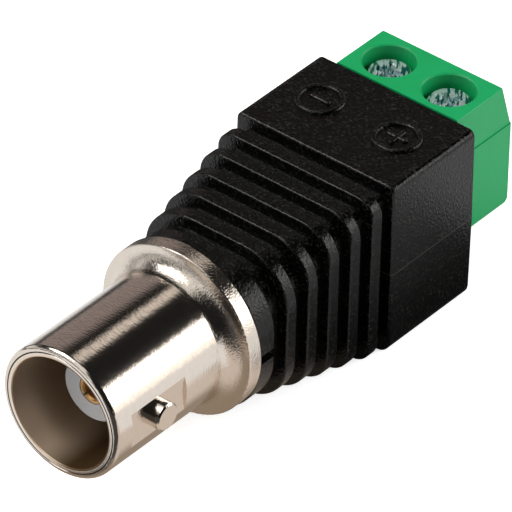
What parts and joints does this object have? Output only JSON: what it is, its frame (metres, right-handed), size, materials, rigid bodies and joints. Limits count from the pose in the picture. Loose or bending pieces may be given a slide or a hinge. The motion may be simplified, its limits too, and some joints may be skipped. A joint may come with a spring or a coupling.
{
  "type": "bnc screw terminal adapter",
  "caption": "Adapter from a bayonet coaxial jack to two screw terminals: plated barrel with lugs, ribbed black housing and green clamp block with rising cages.",
  "frame": {"origin": "centre of the jack's mouth", "axes": "-Y out of the mouth along the jack's axis, +Z to the screw heads, +X to the plus pole"},
  "size_m": [0.0134, 0.0401, 0.0137],
  "materials": {
    "black_plastic": "fine spark-eroded texture",
    "nickel_plate": "bright nickel plate, warm tone",
    "white_dielectric": "smooth, slightly translucent",
    "gold_plate": "gold flash",
    "green_plastic": "satin moulding",
    "zinc_plate": "blue zinc plate",
    "plated_cage": "nickel plate",
    "tinned_brass": "tin plate",
    "tinned_copper": "tinned wire",
    "solder": "reflowed solder"
  },
  "bodies": {
    "adapter": {"housing_upper": "black_plastic", "housing_lower": "black_plastic", "bnc_shell": "nickel_plate", "front_insulator": "white_dielectric", "rear_insulator": "white_dielectric", "centre_contact": "gold_plate", "ground_tag": "tinned_brass", "signal_wire": "tinned_copper", "ground_wire": "tinned_copper", "terminal_block": "green_plastic", "contact_bar_minus": "tinned_brass", "contact_bar_plus": "tinned_brass", "solder_centre": "solder", "solder_tag": "solder", "solder_plus": "solder", "solder_minus": "solder"},
    "screw_minus": {"clamp_screw_minus": "zinc_plate"},
    "cage_minus": {"clamp_cage_minus": "plated_cage"},
    "screw_plus": {"clamp_screw_plus": "zinc_plate"},
    "cage_plus": {"clamp_cage_plus": "plated_cage"}
  },
  "joints": [
    {"name": "screw_minus_turn", "type": "hinge", "parent": "adapter", "child": "screw_minus", "pos_m": [-0.00254, 0.03653, 0.005], "axis": [0, 0, -1], "range_deg": [0, 1521]},
    {"name": "cage_minus_rise", "type": "slide", "parent": "adapter", "child": "cage_minus", "axis": [0, 0, 1], "range_m": [0, 0.0019]},
    {"name": "screw_plus_turn", "type": "hinge", "parent": "adapter", "child": "screw_plus", "pos_m": [0.00254, 0.03653, 0.005], "axis": [0, 0, -1], "range_deg": [0, 1521]},
    {"name": "cage_plus_rise", "type": "slide", "parent": "adapter", "child": "cage_plus", "axis": [0, 0, 1], "range_m": [0, 0.0019]}
  ],
  "couplings": [
    {"joint": "screw_minus_turn", "follows": "cage_minus_rise", "rad_per_m": 13963},
    {"joint": "screw_plus_turn", "follows": "cage_plus_rise", "rad_per_m": 13963}
  ]
}
